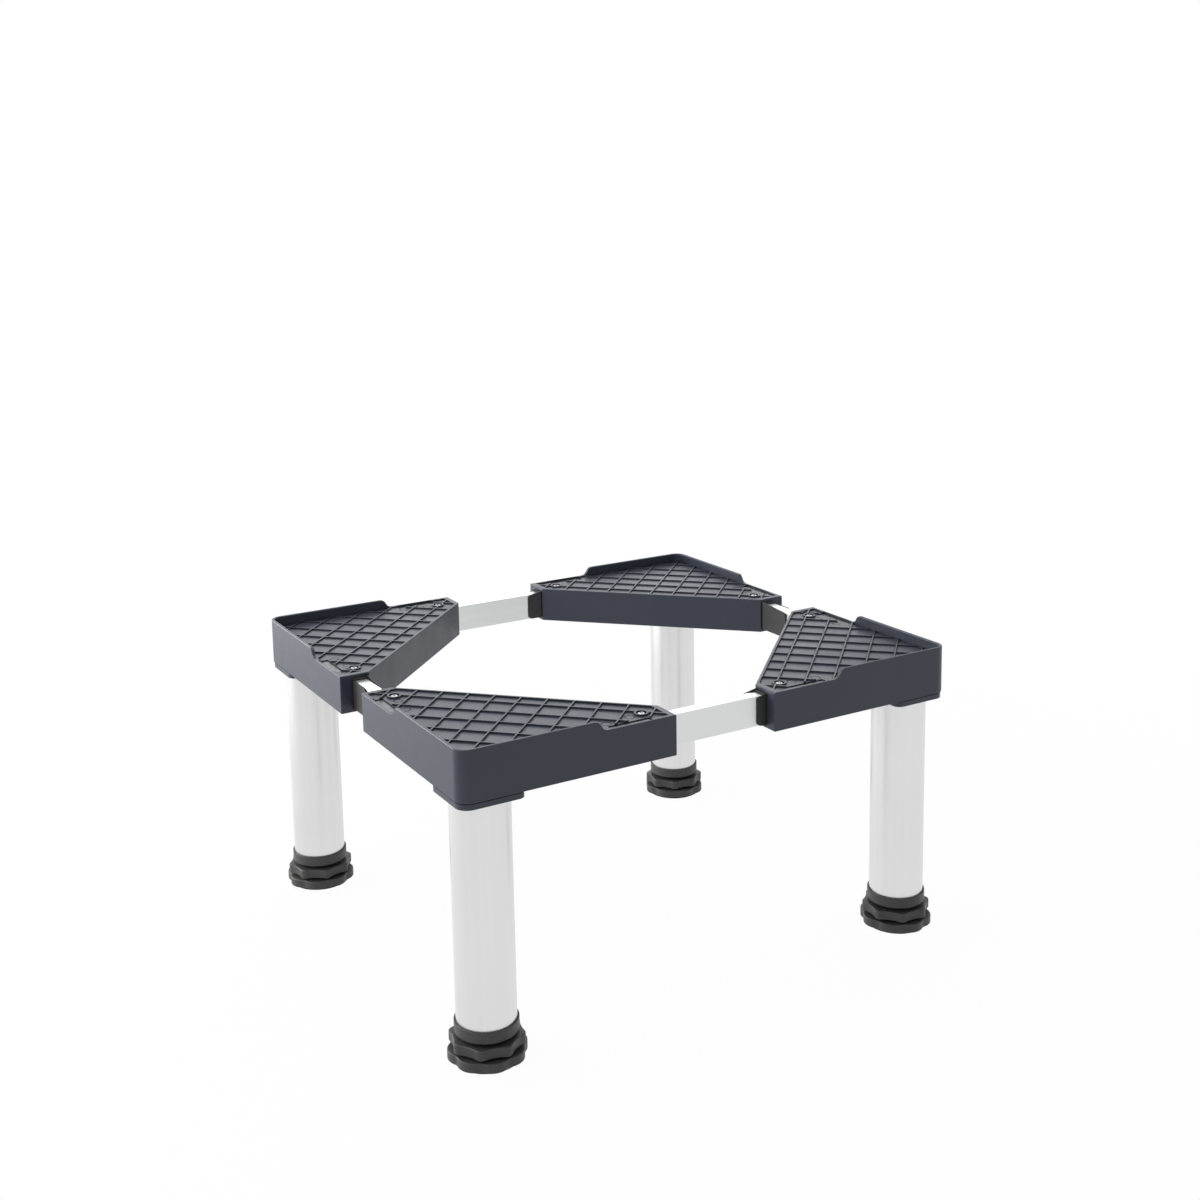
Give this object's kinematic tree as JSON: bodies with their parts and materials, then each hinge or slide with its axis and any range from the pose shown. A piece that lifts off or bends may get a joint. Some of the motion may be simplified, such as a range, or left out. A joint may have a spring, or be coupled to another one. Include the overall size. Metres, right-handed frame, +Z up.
{
  "type": "washing machine pedestal",
  "caption": "Adjustable appliance pedestal: ribbed corner trays on round legs with screw feet, joined by telescopic rectangular tubes.",
  "frame": {"origin": "on the floor, under the middle of the frame's width and depth", "axes": "+X to the right along the front, +Y to the back, +Z up"},
  "size_m": [0.4974, 0.4497, 0.2731],
  "materials": {
    "tray_plastic": "semi-gloss moulded polypropylene",
    "black_plastic": "satin moulded plastic",
    "sole_rubber": "matt rubber",
    "leg_steel": "polished stainless steel",
    "beam_steel": "satin stainless steel",
    "zinc_steel": "bright zinc plate"
  },
  "bodies": {
    "corner_front_left": {"tray_fl": "tray_plastic", "slot_strips_fl": "zinc_steel", "leg_tube_fl": "leg_steel", "leg_plug_fl": "black_plastic", "leg_bolt_fl": "zinc_steel", "leg_collar_fl": "black_plastic", "beam_tube_front": "beam_steel", "beam_cap_front": "black_plastic", "fixing_screw_front": "zinc_steel", "beam_tube_left": "beam_steel", "beam_cap_left": "black_plastic", "fixing_screw_left": "zinc_steel"},
    "corner_front_right": {"tray_fr": "tray_plastic", "slot_strips_fr": "zinc_steel", "leg_tube_fr": "leg_steel", "leg_plug_fr": "black_plastic", "leg_bolt_fr": "zinc_steel", "leg_collar_fr": "black_plastic", "sleeve_front": "black_plastic", "clamp_screw_front": "zinc_steel", "beam_tube_right": "beam_steel", "beam_cap_right": "black_plastic", "fixing_screw_right": "zinc_steel"},
    "corner_back_left": {"tray_bl": "tray_plastic", "slot_strips_bl": "zinc_steel", "leg_tube_bl": "leg_steel", "leg_plug_bl": "black_plastic", "leg_bolt_bl": "zinc_steel", "leg_collar_bl": "black_plastic", "beam_tube_back": "beam_steel", "beam_cap_back": "black_plastic", "fixing_screw_back": "zinc_steel", "sleeve_left": "black_plastic", "clamp_screw_left": "zinc_steel"},
    "corner_back_right": {"tray_br": "tray_plastic", "slot_strips_br": "zinc_steel", "leg_tube_br": "leg_steel", "leg_plug_br": "black_plastic", "leg_bolt_br": "zinc_steel", "leg_collar_br": "black_plastic", "sleeve_back": "black_plastic", "clamp_screw_back": "zinc_steel", "sleeve_right": "black_plastic", "clamp_screw_right": "zinc_steel"},
    "lock_nut_fl": {"lock_nut_fl": "black_plastic"},
    "sole_fl": {"foot_sole_fl": "sole_rubber"},
    "foot_fl": {"foot_fl": "black_plastic"},
    "lock_nut_fr": {"lock_nut_fr": "black_plastic"},
    "sole_fr": {"foot_sole_fr": "sole_rubber"},
    "foot_fr": {"foot_fr": "black_plastic"},
    "lock_nut_bl": {"lock_nut_bl": "black_plastic"},
    "sole_bl": {"foot_sole_bl": "sole_rubber"},
    "foot_bl": {"foot_bl": "black_plastic"},
    "lock_nut_br": {"lock_nut_br": "black_plastic"},
    "sole_br": {"foot_sole_br": "sole_rubber"},
    "foot_br": {"foot_br": "black_plastic"}
  },
  "joints": [
    {"name": "width", "type": "slide", "parent": "corner_front_left", "child": "corner_front_right", "axis": [1, 0, 0], "range_m": [-0.083, 0.029]},
    {"name": "depth", "type": "slide", "parent": "corner_front_left", "child": "corner_back_left", "axis": [0, 1, 0], "range_m": [-0.011, 0.077]},
    {"name": "back_width", "type": "slide", "parent": "corner_back_left", "child": "corner_back_right", "axis": [1, 0, 0], "range_m": [-0.083, 0.029]},
    {"name": "foot_height_fl", "type": "slide", "parent": "corner_front_left", "child": "sole_fl", "axis": [0, 0, -1], "range_m": [0, 0.015]},
    {"name": "foot_turn_fl", "type": "hinge", "parent": "sole_fl", "child": "foot_fl", "pos_m": [-0.216, -0.192, 0.006], "axis": [0, 0, -1], "range_deg": [0, 1799]},
    {"name": "lock_nut_turn_fl", "type": "hinge", "parent": "corner_front_left", "child": "lock_nut_fl", "pos_m": [-0.216, -0.192, 0.0168], "axis": [0, 0, -1], "range_deg": [-348, 72]},
    {"name": "foot_height_fr", "type": "slide", "parent": "corner_front_right", "child": "sole_fr", "axis": [0, 0, -1], "range_m": [0, 0.015]},
    {"name": "foot_turn_fr", "type": "hinge", "parent": "sole_fr", "child": "foot_fr", "pos_m": [0.216, -0.192, 0.006], "axis": [0, 0, -1], "range_deg": [0, 1799]},
    {"name": "lock_nut_turn_fr", "type": "hinge", "parent": "corner_front_right", "child": "lock_nut_fr", "pos_m": [0.216, -0.192, 0.0168], "axis": [0, 0, -1], "range_deg": [-348, 72]},
    {"name": "foot_height_bl", "type": "slide", "parent": "corner_back_left", "child": "sole_bl", "axis": [0, 0, -1], "range_m": [0, 0.015]},
    {"name": "foot_turn_bl", "type": "hinge", "parent": "sole_bl", "child": "foot_bl", "pos_m": [-0.216, 0.192, 0.006], "axis": [0, 0, -1], "range_deg": [0, 1799]},
    {"name": "lock_nut_turn_bl", "type": "hinge", "parent": "corner_back_left", "child": "lock_nut_bl", "pos_m": [-0.216, 0.192, 0.0168], "axis": [0, 0, -1], "range_deg": [-348, 72]},
    {"name": "foot_height_br", "type": "slide", "parent": "corner_back_right", "child": "sole_br", "axis": [0, 0, -1], "range_m": [0, 0.015]},
    {"name": "foot_turn_br", "type": "hinge", "parent": "sole_br", "child": "foot_br", "pos_m": [0.216, 0.192, 0.006], "axis": [0, 0, -1], "range_deg": [0, 1799]},
    {"name": "lock_nut_turn_br", "type": "hinge", "parent": "corner_back_right", "child": "lock_nut_br", "pos_m": [0.216, 0.192, 0.0168], "axis": [0, 0, -1], "range_deg": [-348, 72]}
  ],
  "couplings": [
    {"joint": "back_width", "follows": "width", "ratio": 1},
    {"joint": "foot_height_fl", "follows": "foot_turn_fl", "m_per_rad": 0.00047746},
    {"joint": "foot_height_fr", "follows": "foot_turn_fr", "m_per_rad": 0.00047746},
    {"joint": "foot_height_bl", "follows": "foot_turn_bl", "m_per_rad": 0.00047746},
    {"joint": "foot_height_br", "follows": "foot_turn_br", "m_per_rad": 0.00047746}
  ]
}
